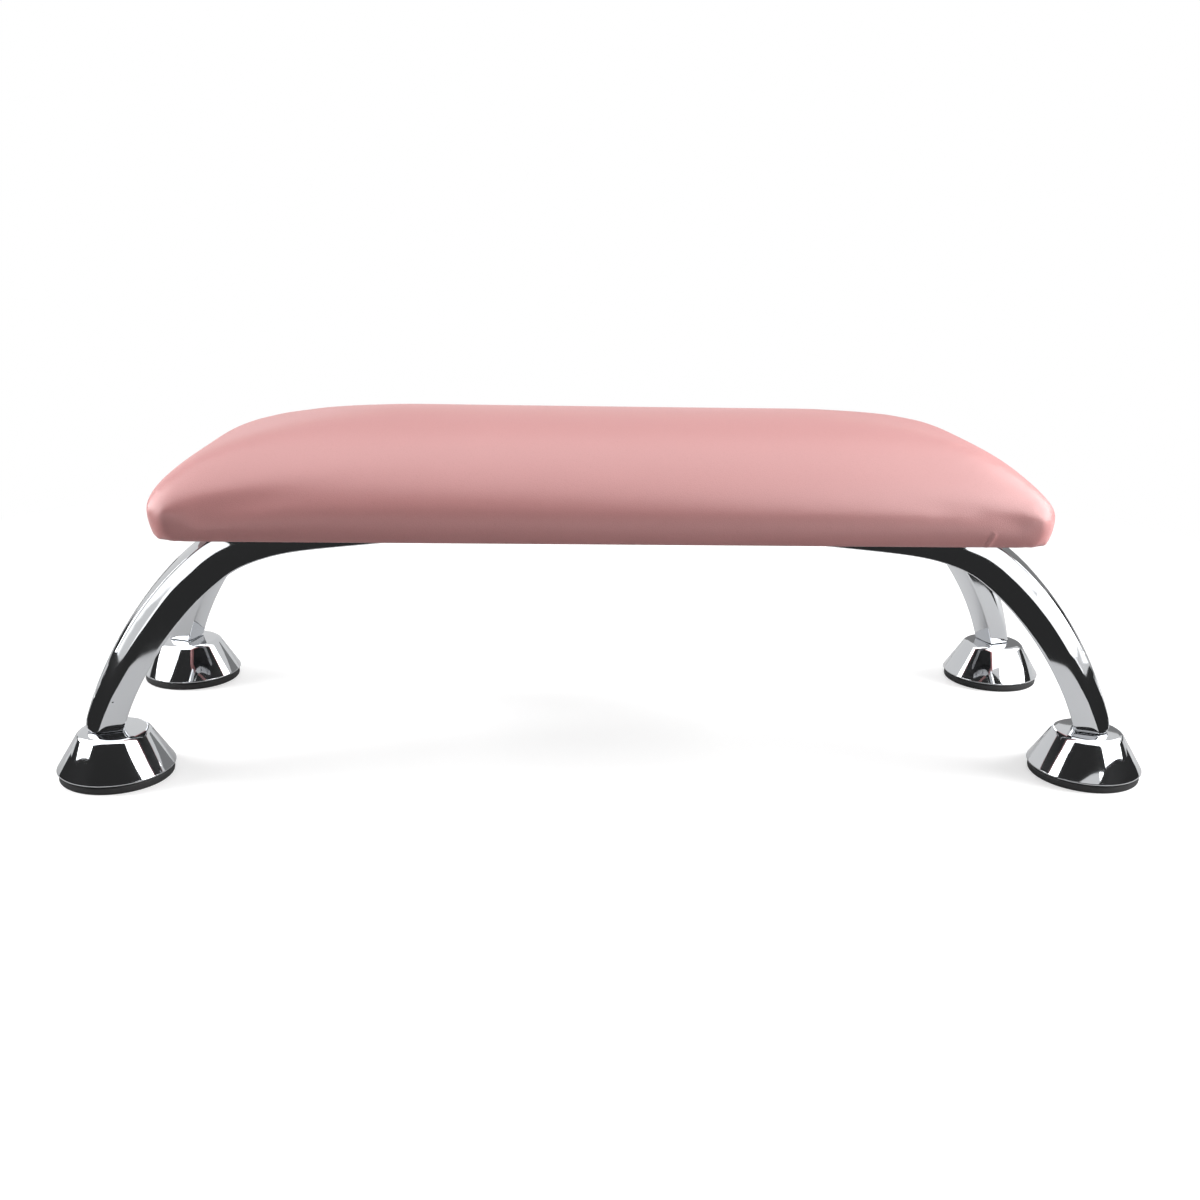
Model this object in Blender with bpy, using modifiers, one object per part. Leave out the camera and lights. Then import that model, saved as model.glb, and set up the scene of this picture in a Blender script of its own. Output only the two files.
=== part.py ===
"""Hand rest for manicures: an upholstered arched cushion on four polished cast legs.

Metres, +Z up, +X to the right of the front view, front at -Y. The origin is on the table
top, midway between the four feet.
"""

import math

import bmesh
import bpy
from mathutils import Matrix, Vector

MM = 0.001
GAP = 0.3 * MM
MERGE = 0.05 * MM

# Stance: the feet stand out past the cushion's ends and in from its long sides
FOOT_OUTREACH = 18.5 * MM
FOOT_INSET = 5 * MM
LEG_SPLAY = math.radians(20)

# Rubber pad and foot cone
PAD_RADIUS = 18.9 * MM
PAD_THICKNESS = 2.8 * MM
PAD_PLUG_HEIGHT = 1.8 * MM
PAD_EDGE = 0.6 * MM
CONE_RADIUS = 19.8 * MM
CONE_TOP_RADIUS = 11.6 * MM
CONE_HEIGHT = 13.3 * MM
CONE_LIP = 1.0 * MM
CONE_SHOULDER = 1.5 * MM
CONE_FLANK_TILT = 32  # degrees that the flank's outward side looks up
CONE_WALL = 2.4 * MM
CONE_ROOF = 3.4 * MM

# Cushion and what lies under it
UNDERSIDE_HEIGHT = 82.2 * MM
LINING_THICKNESS = 0.8 * MM
LINING_MARGIN = 9 * MM
LINING_CORNER = 3 * MM
COVER_THICKNESS = 0.9 * MM
COVER_TURN_IN = 16 * MM
TURN_IN_CORNER = 2 * MM
COVER_EDGE_RADIUS = 2.4 * MM
CUSHION_LENGTH = 303 * MM
CUSHION_WIDTH = 110 * MM
CUSHION_CORNER = 9 * MM
BAND_HEIGHT = 10 * MM
BAND_TUCK = 1.6 * MM
BAND_TUCK_CURVE = 1.6
CROWN_HEIGHT = 28.2 * MM
CROWN_RUN_X = 76 * MM
CROWN_RUN_Y = 50 * MM
CROWN_FLATTENING_Y = 1.6
BOARD_THICKNESS = 7 * MM

# Leg: distances outward from the foot's axis, along the leg's own upright plane
OUTER_RUNS = (9.0 * MM, 4.2 * MM, -16 * MM, -37 * MM)  # foot, two curve handles, shoulder
INNER_RUNS = (-2.5 * MM, -12 * MM, -28 * MM, -52 * MM)
OUTER_HANDLES = (0.33, 0.74)  # shares of the rise; the inner line turns level sooner
INNER_HANDLES = (0.39, 0.93)
ARM_END = -112 * MM
ARM_ROOT_DEPTH = 11 * MM
ARM_TIP_DEPTH = 6 * MM
ARM_TIP_ROUND = 9 * MM
OUTER_WIDTH_FOOT = 1.8 * MM
OUTER_WIDTH_SHOULDER = 11.5 * MM
INNER_WIDTH_FOOT = 11.8 * MM
INNER_WIDTH_SHOULDER = 13 * MM
INNER_BULGE = 0.9 * MM
LEG_EDGE = 1.0 * MM
LEG_STATIONS = 16
ARM_STATIONS = 5
TIP_TURNS = (25, 45, 65, 80)  # degrees

# Screws
ARM_SCREW_STATIONS = (-64 * MM, -95 * MM)
ARM_SCREW_SEAT = 4.5 * MM
ARM_SCREW_BITE = 5 * MM
SCREW_RADIUS = 1.6 * MM
SCREW_HEAD_RADIUS = 3.4 * MM
SCREW_HEAD_HEIGHT = 2.2 * MM
FOOT_SCREW_BITE = 9 * MM

ROUND_STEPS = 32
SMALL_STEPS = 12

# Levels and spacings that follow from the sizes above
FOOT_SPACING_X = CUSHION_LENGTH + 2 * FOOT_OUTREACH
FOOT_SPACING_Y = CUSHION_WIDTH - 2 * FOOT_INSET
CONE_BOTTOM = PAD_THICKNESS + GAP
CONE_TOP = CONE_BOTTOM + CONE_HEIGHT
LEG_BOTTOM = CONE_TOP + GAP
LEG_TOP = UNDERSIDE_HEIGHT - GAP
LINING_TOP = UNDERSIDE_HEIGHT + LINING_THICKNESS
COVER_BOTTOM = LINING_TOP + GAP
BOARD_BOTTOM = COVER_BOTTOM + COVER_THICKNESS + GAP
BOARD_TOP = BOARD_BOTTOM + BOARD_THICKNESS
BAND_TOP = COVER_BOTTOM + BAND_HEIGHT
SKIN_INSET = COVER_THICKNESS + GAP

CORNERS = {
    "front_left": (-1, -1),
    "front_right": (1, -1),
    "rear_left": (-1, 1),
    "rear_right": (1, 1),
}


def clear_scene():
    for item in list(bpy.data.objects):
        bpy.data.objects.remove(item, do_unlink=True)


def make_collection(name):
    group = bpy.data.collections.new(name)
    bpy.context.scene.collection.children.link(group)
    return group


def make_material(name, colour, roughness, metallic):
    material = bpy.data.materials.new(name)
    material.use_nodes = True
    shader = material.node_tree.nodes["Principled BSDF"]
    shader.inputs["Base Color"].default_value = (*colour, 1)
    shader.inputs["Roughness"].default_value = roughness
    shader.inputs["Metallic"].default_value = metallic
    material.diffuse_color = (*colour, 1)
    return material


def add_object(name, mesh, material, group):
    item = bpy.data.objects.new(name, mesh)
    group.objects.link(item)
    if material:
        mesh.materials.append(material)
    return item


def finish_mesh(name, bm, smooth_angle=35):
    bmesh.ops.recalc_face_normals(bm, faces=bm.faces)
    mesh = bpy.data.meshes.new(name)
    bm.to_mesh(mesh)
    bm.free()
    mesh.shade_smooth()
    mesh.set_sharp_from_angle(angle=math.radians(smooth_angle))
    return mesh


def loft(rings, close_first=True, close_last=True):
    """Joins equally long closed rings of points into one skin."""
    bm = bmesh.new()
    loops = [[bm.verts.new(point) for point in ring] for ring in rings]
    for lower, upper in zip(loops, loops[1:]):
        for i in range(len(lower)):
            j = (i + 1) % len(lower)
            bm.faces.new((lower[i], lower[j], upper[j], upper[i]))
    if close_first:
        bm.faces.new(reversed(loops[0]))
    if close_last:
        bm.faces.new(loops[-1])
    return bm


def turned(name, profile, place, material, group, steps=ROUND_STEPS):
    """A profile of (radius, height) points from the top axis outward and down, turned about Z."""
    mesh = bpy.data.meshes.new(name)
    points = [(radius, 0, height) for radius, height in profile]
    mesh.from_pydata(points, [(i, i + 1) for i in range(len(points) - 1)], [])
    item = add_object(name, mesh, material, group)
    item.location = place
    screw = item.modifiers.new("Turn", "SCREW")
    screw.axis = "Z"
    screw.angle = math.tau
    screw.steps = steps
    screw.render_steps = steps
    screw.use_merge_vertices = True
    screw.merge_threshold = MERGE
    screw.use_smooth_shade = True
    return item


def arc(centre_r, centre_z, radius, start, end, count):
    """Points on an arc in the turning plane, angles in degrees from +X."""
    points = []
    for i in range(count + 1):
        angle = math.radians(start + (end - start) * i / count)
        points.append((centre_r + radius * math.cos(angle), centre_z + radius * math.sin(angle)))
    return points


def foot_place(side, row):
    return Vector((side * FOOT_SPACING_X / 2, row * FOOT_SPACING_Y / 2, 0))


def leg_point(side, row, outward, across, height):
    """Leg coordinates (outward from the foot axis, across the leg, height) to world ones."""
    out = Vector((side * math.cos(LEG_SPLAY), row * math.sin(LEG_SPLAY), 0))
    cross = Vector((-side * math.sin(LEG_SPLAY), row * math.cos(LEG_SPLAY), 0))
    return foot_place(side, row) + out * outward + cross * across + Vector((0, 0, height))


def cone_slope():
    return (CONE_RADIUS - CONE_TOP_RADIUS) / CONE_HEIGHT


def cavity_radius(height):
    """Radius of the hollow under the cone at a height above the table."""
    return CONE_RADIUS - CONE_WALL - (height - CONE_BOTTOM) * cone_slope()


def make_rubber_pad(corner, side, row, material, group):
    plug_top = PAD_THICKNESS + PAD_PLUG_HEIGHT
    plug_radius = cavity_radius(plug_top) - 2 * GAP
    profile = [(0, plug_top), (plug_radius, plug_top), (plug_radius, PAD_THICKNESS)]
    profile += arc(PAD_RADIUS - PAD_EDGE, PAD_THICKNESS - PAD_EDGE, PAD_EDGE, 90, 0, 2)
    profile += arc(PAD_RADIUS - PAD_EDGE, PAD_EDGE, PAD_EDGE, 0, -90, 2)
    profile += [(0, 0)]
    return turned(f"rubber_pad_{corner}", profile, foot_place(side, row), material, group)


def make_foot_cone(corner, side, row, material, group):
    bore = SCREW_RADIUS + GAP
    roof = CONE_TOP - CONE_ROOF
    profile = [(bore, CONE_TOP)]
    shoulder = (CONE_TOP_RADIUS - CONE_SHOULDER, CONE_TOP - CONE_SHOULDER)
    profile += arc(*shoulder, CONE_SHOULDER, 90, CONE_FLANK_TILT, 4)
    lip = (CONE_RADIUS - CONE_LIP, CONE_BOTTOM + CONE_LIP)
    profile += arc(*lip, CONE_LIP, CONE_FLANK_TILT, -90, 4)
    profile += [
        (cavity_radius(CONE_BOTTOM), CONE_BOTTOM),
        (cavity_radius(roof), roof),
        (bore, roof),
        (bore, CONE_TOP),
    ]
    return turned(f"foot_cone_{corner}", profile, foot_place(side, row), material, group)


def screw_profile(head_bottom, seat, tip):
    """A pan-head screw from its tip down to the crown of its head."""
    dome = SCREW_HEAD_HEIGHT / 2
    return [
        (0, tip),
        (SCREW_RADIUS * 0.5, tip - SCREW_RADIUS * 0.3),
        (SCREW_RADIUS, tip - SCREW_RADIUS),
        (SCREW_RADIUS, seat),
        (SCREW_HEAD_RADIUS, seat),
        (SCREW_HEAD_RADIUS, head_bottom + dome),
        (SCREW_HEAD_RADIUS * 0.75, head_bottom + dome * 0.3),
        (0, head_bottom),
    ]


def cut_with(item, cutter):
    boolean = item.modifiers.new("Cut", "BOOLEAN")
    boolean.operation = "DIFFERENCE"
    boolean.solver = "EXACT"
    boolean.object = cutter


def cylinder_into(bm, radius, bottom, top, centre, steps=SMALL_STEPS):
    place = Matrix.Translation((centre.x, centre.y, (bottom + top) / 2))
    bmesh.ops.create_cone(
        bm,
        cap_ends=True,
        segments=steps,
        radius1=radius,
        radius2=radius,
        depth=top - bottom,
        matrix=place,
    )


def cutter_object(name, bm, group):
    mesh = bpy.data.meshes.new(name)
    bm.to_mesh(mesh)
    bm.free()
    item = add_object(name, mesh, None, group)
    item.hide_render = True
    item.display_type = "WIRE"
    return item


def make_foot_screw(corner, side, row, material, group):
    seat = CONE_TOP - CONE_ROOF - GAP
    profile = screw_profile(seat - SCREW_HEAD_HEIGHT, seat, LEG_BOTTOM + FOOT_SCREW_BITE)
    name = f"foot_screw_{corner}"
    return turned(name, profile, foot_place(side, row), material, group, SMALL_STEPS)


def arm_screw_seat():
    return LEG_TOP - ARM_SCREW_SEAT


def make_arm_screw(name, place, material, group):
    seat = arm_screw_seat() - GAP
    profile = screw_profile(seat - SCREW_HEAD_HEIGHT, seat, BOARD_BOTTOM + ARM_SCREW_BITE)
    return turned(name, profile, (place.x, place.y, 0), material, group, SMALL_STEPS)


def bezier(a, b, c, d, t):
    s = 1 - t
    return a * s**3 + 3 * b * s * s * t + 3 * c * s * t * t + d * t**3


def mix(a, b, t):
    return a + (b - a) * t


def leg_line(runs, handles, top, t):
    """One long edge of the leg as (outward, height), rising from the foot to the shoulder."""
    rise = top - LEG_BOTTOM
    low, high = (LEG_BOTTOM + rise * share for share in handles)
    return Vector((bezier(*runs, t), bezier(LEG_BOTTOM, low, high, top, t)))


def round_corner(before, corner, after, radius):
    """Three points that ease a section's corner."""
    to_before = (before - corner).normalized() * radius
    to_after = (after - corner).normalized() * radius
    start = corner + to_before
    end = corner + to_after
    return [start, corner * 0.5 + (start + end) * 0.25, end]


def leg_section(outer, inner, outer_width, inner_width, bulge):
    """Closed section through the leg as (outward, height, across) points."""
    depth = (inner - outer).normalized()
    ends = []
    for point, width in ((outer, outer_width), (inner, inner_width)):
        ends.append(Vector((point.x, point.y, width / 2)))
        ends.append(Vector((point.x, point.y, -width / 2)))
    outer_plus, outer_minus, inner_plus, inner_minus = ends
    outer_edge = min(LEG_EDGE, outer_width * 0.4)
    section = []
    section += round_corner(outer_minus, outer_plus, inner_plus, outer_edge)
    section += round_corner(outer_plus, inner_plus, inner_minus, LEG_EDGE)
    swell = Vector((depth.x, depth.y, 0)) * bulge
    for share in (0.25, 0, -0.25):
        lift = 1 - (2 * share) ** 2
        section.append(Vector((inner.x, inner.y, inner_width * share)) + swell * lift)
    section += round_corner(inner_plus, inner_minus, outer_minus, LEG_EDGE)
    section += round_corner(inner_minus, outer_minus, outer_plus, outer_edge)
    return section


def leg_sections():
    sections = []
    for i in range(LEG_STATIONS + 1):
        t = i / LEG_STATIONS
        outer = leg_line(OUTER_RUNS, OUTER_HANDLES, LEG_TOP, t)
        inner = leg_line(INNER_RUNS, INNER_HANDLES, LEG_TOP - ARM_ROOT_DEPTH, t)
        outer_width = mix(OUTER_WIDTH_FOOT, OUTER_WIDTH_SHOULDER, t)
        inner_width = mix(INNER_WIDTH_FOOT, INNER_WIDTH_SHOULDER, t)
        sections.append(leg_section(outer, inner, outer_width, inner_width, INNER_BULGE))
    tip_start = ARM_END + ARM_TIP_ROUND
    run = tip_start - OUTER_RUNS[-1]
    for i in range(1, ARM_STATIONS + 1):
        share = i / ARM_STATIONS
        outward = OUTER_RUNS[-1] + run * share
        inner_out = mix(INNER_RUNS[-1], tip_start, share)
        depth = mix(ARM_ROOT_DEPTH, ARM_TIP_DEPTH, share)
        width = mix(OUTER_WIDTH_SHOULDER, INNER_WIDTH_SHOULDER, min(1, share * 2))
        outer = Vector((outward, LEG_TOP))
        inner = Vector((inner_out, LEG_TOP - depth))
        sections.append(
            leg_section(outer, inner, width, INNER_WIDTH_SHOULDER, INNER_BULGE * (1 - share))
        )
    for angle in TIP_TURNS:
        turn = math.radians(angle)
        outward = tip_start - ARM_TIP_ROUND * math.sin(turn)
        width = max(INNER_WIDTH_SHOULDER * math.cos(turn), 3 * LEG_EDGE)
        outer = Vector((outward, LEG_TOP))
        inner = Vector((outward, LEG_TOP - ARM_TIP_DEPTH))
        sections.append(leg_section(outer, inner, width, width, 0))
    return sections


def make_leg(corner, side, row, material, group, cutters):
    rings = []
    for section in leg_sections():
        rings.append([leg_point(side, row, p.x, p.z, p.y) for p in section])
    bm = loft(rings)
    bmesh.ops.triangulate(bm, faces=bm.faces)
    name = f"leg_{corner}"
    item = add_object(name, finish_mesh(name, bm, 25), material, group)
    holes = bmesh.new()
    clear = SCREW_RADIUS + GAP
    foot = foot_place(side, row)
    cylinder_into(holes, clear, LEG_BOTTOM - 1 * MM, LEG_BOTTOM + FOOT_SCREW_BITE + GAP, foot)
    for outward in ARM_SCREW_STATIONS:
        place = leg_point(side, row, outward, 0, 0)
        seat = arm_screw_seat()
        cylinder_into(holes, clear, seat - 1 * MM, LEG_TOP + 1 * MM, place)
    cut_with(item, cutter_object(f"cut_bores_{corner}", holes, cutters))
    pockets = bmesh.new()
    for outward in ARM_SCREW_STATIONS:
        place = leg_point(side, row, outward, 0, 0)
        cylinder_into(
            pockets, SCREW_HEAD_RADIUS + GAP, LEG_TOP - 2 * ARM_ROOT_DEPTH, arm_screw_seat(), place
        )
    cut_with(item, cutter_object(f"cut_pockets_{corner}", pockets, cutters))
    return item


def rounded_rectangle(half_x, half_y, radius, height, corner_steps=5):
    """Closed ring of points at one height, counter-clockwise seen from above."""
    points = []
    for start, sign_x, sign_y in ((0, 1, 1), (90, -1, 1), (180, -1, -1), (270, 1, -1)):
        centre_x = sign_x * (half_x - radius)
        centre_y = sign_y * (half_y - radius)
        for i in range(corner_steps + 1):
            angle = math.radians(start + 90 * i / corner_steps)
            x = centre_x + radius * math.cos(angle)
            y = centre_y + radius * math.sin(angle)
            points.append(Vector((x, y, height)))
    return points


def with_side_points(ring, corner_steps=5, long_points=9, short_points=3):
    """Adds evenly spaced points to the ring's four straight sides."""
    out = []
    span = corner_steps + 1
    extra = (long_points, short_points, long_points, short_points)
    for quarter in range(4):
        out += ring[quarter * span : (quarter + 1) * span]
        start = ring[(quarter + 1) * span - 1]
        end = ring[((quarter + 1) * span) % len(ring)]
        count = extra[quarter]
        for i in range(1, count + 1):
            out.append(start.lerp(end, i / (count + 1)))
    return out


def cushion_ring(inset_x, inset_y, height, corner):
    half_x = CUSHION_LENGTH / 2 - inset_x
    half_y = CUSHION_WIDTH / 2 - inset_y
    radius = max(min(corner, half_y - 0.5 * MM), 0.5 * MM)
    return with_side_points(rounded_rectangle(half_x, half_y, radius, height))


def skin_insets(height):
    """How far the skin stands in from the cushion's widest line, along X and along Y."""
    if height <= BAND_TOP:
        tuck = BAND_TUCK * ((BAND_TOP - height) / BAND_HEIGHT) ** BAND_TUCK_CURVE
        return tuck, tuck
    cosine = math.sqrt(max(0, 1 - ((height - BAND_TOP) / CROWN_HEIGHT) ** 2))
    return CROWN_RUN_X * (1 - cosine), CROWN_RUN_Y * (1 - cosine**CROWN_FLATTENING_Y)


def skin_ring(height, inward):
    """Ring at one height, a given distance inside the cover's outer skin."""
    inset_x, inset_y = skin_insets(height)
    return cushion_ring(inset_x + inward, inset_y + inward, height, CUSHION_CORNER - inward)


def crown_rings(start_height, inward):
    """Rings up the edge band and over the crown, inward of the skin."""
    rings = [skin_ring(mix(start_height, BAND_TOP, share), inward) for share in (0, 0.5, 1)]
    for angle in (12, 24, 36, 48, 60, 71, 80, 87):
        rise = CROWN_HEIGHT * math.sin(math.radians(angle))
        ring = skin_ring(BAND_TOP + rise, inward)
        drop = Vector((0, 0, inward * rise / CROWN_HEIGHT))
        rings.append([point - drop for point in ring])
    return rings


def make_cover(material, group):
    bottom = COVER_BOTTOM
    tuck = BAND_TUCK
    edge = COVER_EDGE_RADIUS
    rings = [
        cushion_ring(tuck + COVER_TURN_IN, tuck + COVER_TURN_IN, bottom, TURN_IN_CORNER),
        cushion_ring(tuck + edge, tuck + edge, bottom, CUSHION_CORNER - edge),
    ]
    for angle in (30, 60):
        turn = math.radians(angle)
        inset = tuck + edge * (1 - math.sin(turn))
        height = bottom + edge * (1 - math.cos(turn))
        rings.append(cushion_ring(inset, inset, height, CUSHION_CORNER - edge * 0.5))
    rings += crown_rings(bottom + edge, 0)
    bm = loft(rings, close_first=False)
    name = "cushion_cover"
    item = add_object(name, finish_mesh(name, bm, 60), material, group)
    solidify = item.modifiers.new("Hide", "SOLIDIFY")
    solidify.thickness = COVER_THICKNESS
    solidify.offset = -1
    return item


def make_foam(material, group):
    bm = loft(crown_rings(BOARD_TOP + GAP, SKIN_INSET))
    name = "foam_pad"
    return add_object(name, finish_mesh(name, bm, 60), material, group)


def plate(name, half_x, half_y, radius, bottom, top, material, group, holes):
    rings = [rounded_rectangle(half_x, half_y, radius, height) for height in (bottom, top)]
    item = add_object(name, finish_mesh(name, loft(rings)), material, group)
    cut_with(item, holes)
    return item


def board_hole_cutter(group):
    holes = bmesh.new()
    for side, row in CORNERS.values():
        for outward in ARM_SCREW_STATIONS:
            place = leg_point(side, row, outward, 0, 0)
            top = BOARD_BOTTOM + ARM_SCREW_BITE + GAP
            cylinder_into(holes, SCREW_RADIUS + GAP, LEG_TOP - 1 * MM, top, place)
    return cutter_object("cut_board_holes", holes, group)


def make_board(material, group, holes):
    inset = BAND_TUCK + max(SKIN_INSET, COVER_EDGE_RADIUS)
    half_x = CUSHION_LENGTH / 2 - inset
    half_y = CUSHION_WIDTH / 2 - inset
    radius = CUSHION_CORNER - COVER_EDGE_RADIUS / 2
    plate("base_board", half_x, half_y, radius, BOARD_BOTTOM, BOARD_TOP, material, group, holes)


def make_lining(material, group, holes):
    half_x = CUSHION_LENGTH / 2 - LINING_MARGIN
    half_y = CUSHION_WIDTH / 2 - LINING_MARGIN
    bottom = UNDERSIDE_HEIGHT
    name = "underside_lining"
    plate(name, half_x, half_y, LINING_CORNER, bottom, LINING_TOP, material, group, holes)


def main():
    clear_scene()
    group = make_collection("manicure_hand_rest")
    cutters = make_collection("cutters")
    leather = make_material("pink_leather", (0.76, 0.42, 0.42), 0.45, 0)
    foam = make_material("foam", (0.85, 0.80, 0.60), 0.95, 0)
    wood = make_material("plywood", (0.55, 0.38, 0.22), 0.75, 0)
    felt = make_material("black_lining", (0.02, 0.02, 0.02), 0.9, 0)
    chrome = make_material("polished_chrome", (0.80, 0.80, 0.81), 0.08, 1)
    rubber = make_material("black_rubber", (0.02, 0.02, 0.02), 0.7, 0)
    steel = make_material("zinc_steel", (0.60, 0.60, 0.60), 0.35, 1)

    holes = board_hole_cutter(cutters)
    make_cover(leather, group)
    make_foam(foam, group)
    make_board(wood, group, holes)
    make_lining(felt, group, holes)
    for corner, (side, row) in CORNERS.items():
        make_rubber_pad(corner, side, row, rubber, group)
        make_foot_cone(corner, side, row, chrome, group)
        make_foot_screw(corner, side, row, steel, group)
        make_leg(corner, side, row, chrome, group, cutters)
        for number, outward in enumerate(ARM_SCREW_STATIONS, start=1):
            place = leg_point(side, row, outward, 0, 0)
            make_arm_screw(f"arm_screw_{corner}_{number}", place, steel, group)


main()
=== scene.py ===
import math

import bmesh
import bpy
from mathutils import Matrix, Vector


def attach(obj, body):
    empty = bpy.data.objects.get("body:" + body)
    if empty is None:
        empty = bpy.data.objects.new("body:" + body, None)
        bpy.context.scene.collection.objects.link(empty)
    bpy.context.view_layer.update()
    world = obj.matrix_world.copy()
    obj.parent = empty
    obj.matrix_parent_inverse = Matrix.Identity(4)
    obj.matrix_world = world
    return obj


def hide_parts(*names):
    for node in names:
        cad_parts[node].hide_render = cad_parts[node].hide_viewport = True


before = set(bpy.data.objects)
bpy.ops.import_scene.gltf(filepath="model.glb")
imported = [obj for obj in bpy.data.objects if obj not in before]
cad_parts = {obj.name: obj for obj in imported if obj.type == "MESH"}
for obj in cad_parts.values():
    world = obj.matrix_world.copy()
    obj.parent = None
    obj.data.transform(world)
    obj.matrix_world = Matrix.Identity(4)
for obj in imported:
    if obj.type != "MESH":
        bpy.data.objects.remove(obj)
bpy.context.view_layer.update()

# Hand rest for manicures: a soft arched cushion on four chrome legs.
# Metres, +Z up, front at -Y, the table top at Z 0.

mm = 0.001
corners = {  # which way each leg points, in degrees round Z, and its foot's side and row
    "front_left": (200, -1, -1),
    "front_right": (-20, 1, -1),
    "rear_left": (160, -1, 1),
    "rear_right": (20, 1, 1),
}
stance = {"x": 170 * mm, "y": 50 * mm}  # half the distance between the feet
touch = 0.1 * mm  # a point within this of a level counts as on it
hair = 0.01 * mm  # the same where other points lie close by


# Small helpers for working by operator

def deselectAll():
    if bpy.context.object and bpy.context.object.mode != "OBJECT":
        bpy.ops.object.mode_set(mode="OBJECT")
    bpy.ops.object.select_all(action="DESELECT")


def activate(piece):
    deselectAll()
    piece.select_set(True)
    bpy.context.view_layer.objects.active = piece


def newPiece(name):
    piece = bpy.context.object
    piece.name = name
    piece.data.name = name
    return piece


def startEdit(piece):
    activate(piece)
    bpy.ops.object.mode_set(mode="EDIT")


def endEdit():
    bpy.ops.object.mode_set(mode="OBJECT")


def pick(piece, test, kind="VERT"):
    bpy.ops.mesh.select_mode(type=kind)
    bpy.ops.mesh.select_all(action="DESELECT")
    bm = bmesh.from_edit_mesh(piece.data)
    elements = {"VERT": bm.verts, "EDGE": bm.edges, "FACE": bm.faces}[kind]
    for element in elements:
        if test(element):
            element.select_set(True)
    bm.select_flush_mode()
    bmesh.update_edit_mesh(piece.data)


def applyModifier(piece, kind, **settings):
    activate(piece)
    modifier = piece.modifiers.new(kind.title(), kind)
    for name, value in settings.items():
        setattr(modifier, name, value)
    bpy.ops.object.modifier_apply(modifier=modifier.name)


def freezePlace(piece):
    activate(piece)
    bpy.ops.object.transform_apply(location=True, rotation=True, scale=True)


def smoothShade(piece, degrees):
    activate(piece)
    bpy.ops.object.shade_smooth_by_angle(angle=math.radians(degrees))


def copyOf(piece, name):
    twin = piece.copy()
    twin.data = piece.data.copy()
    twin.name = name
    twin.data.name = name
    bpy.context.scene.collection.objects.link(twin)
    return twin


def stand(piece, node, material):
    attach(piece, "root")
    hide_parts(node)
    piece.data.materials.clear()
    piece.data.materials.append(material)


def camel(node):
    first, *rest = node.split("_")
    return first + "".join(word.capitalize() for word in rest)


# Materials

def linear(hexColour):
    values = [int(hexColour[i:i + 2], 16) / 255 for i in (1, 3, 5)]
    return tuple(v / 12.92 if v <= 0.04045 else ((v + 0.055) / 1.055) ** 2.4 for v in values)


def addNode(tree, kind, settings=None, links=None):
    node = tree.nodes.new(kind)
    for name, value in (settings or {}).items():
        if isinstance(name, str) and hasattr(node, name):
            setattr(node, name, value)
        else:
            node.inputs[name].default_value = value
    for name, source in (links or {}).items():
        tree.links.new(source, node.inputs[name])
    return node


def newMaterial(name, colour, roughness, metallic=0.0, **shaderSettings):
    material = bpy.data.materials.new(name)
    material.use_nodes = True
    tree = material.node_tree
    shader = tree.nodes["Principled BSDF"]
    shader.inputs["Base Color"].default_value = (*linear(colour), 1)
    shader.inputs["Roughness"].default_value = roughness
    shader.inputs["Metallic"].default_value = metallic
    for socket, value in shaderSettings.items():
        shader.inputs[socket.replace("_", " ")].default_value = value
    material.diffuse_color = (*linear(colour), 1)
    return material, tree, shader


def chromePlating():
    # Nickel and chromium plated on polished die-cast zinc: a cool mirror. Polishing by hand
    # leaves long soft waves that bend the reflections, and the casting leaves a few pits.
    material, tree, shader = newMaterial("polishedChromePlating", "#D8DADD", 0.045, 1.0)
    place = addNode(tree, "ShaderNodeTexCoord").outputs["Object"]
    waves = addNode(tree, "ShaderNodeTexNoise",
                    {"Scale": 1 / (26 * mm), "Detail": 1.5, "Roughness": 0.4}, {"Vector": place})
    dents = addNode(tree, "ShaderNodeTexNoise",
                    {"Scale": 1 / (7 * mm), "Detail": 1.0, "Roughness": 0.3}, {"Vector": place})
    height = addNode(tree, "ShaderNodeMath", {"operation": "MULTIPLY_ADD", 1: 0.07},
                     {0: dents.outputs["Fac"], 2: waves.outputs["Fac"]})
    pits = addNode(tree, "ShaderNodeTexVoronoi", {"Scale": 1 / (12 * mm)}, {"Vector": place})
    pitDepth = addNode(tree, "ShaderNodeMapRange",
                       {"From Min": 0.0, "From Max": 0.032, "To Min": 0.45, "To Max": 0.0},
                       {"Value": pits.outputs["Distance"]})
    total = addNode(tree, "ShaderNodeMath", {"operation": "SUBTRACT"},
                    {0: height.outputs[0], 1: pitDepth.outputs["Result"]})
    bump = addNode(tree, "ShaderNodeBump", {"Strength": 1.0, "Distance": 0.3 * mm},
                   {"Height": total.outputs[0]})
    tree.links.new(bump.outputs["Normal"], shader.inputs["Normal"])
    smears = addNode(tree, "ShaderNodeTexNoise", {"Scale": 1 / (9 * mm), "Detail": 3.0},
                     {"Vector": place})
    gloss = addNode(tree, "ShaderNodeMapRange", {"To Min": 0.03, "To Max": 0.075},
                    {"Value": smears.outputs["Fac"]})
    tree.links.new(gloss.outputs["Result"], shader.inputs["Roughness"])
    return material


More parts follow.
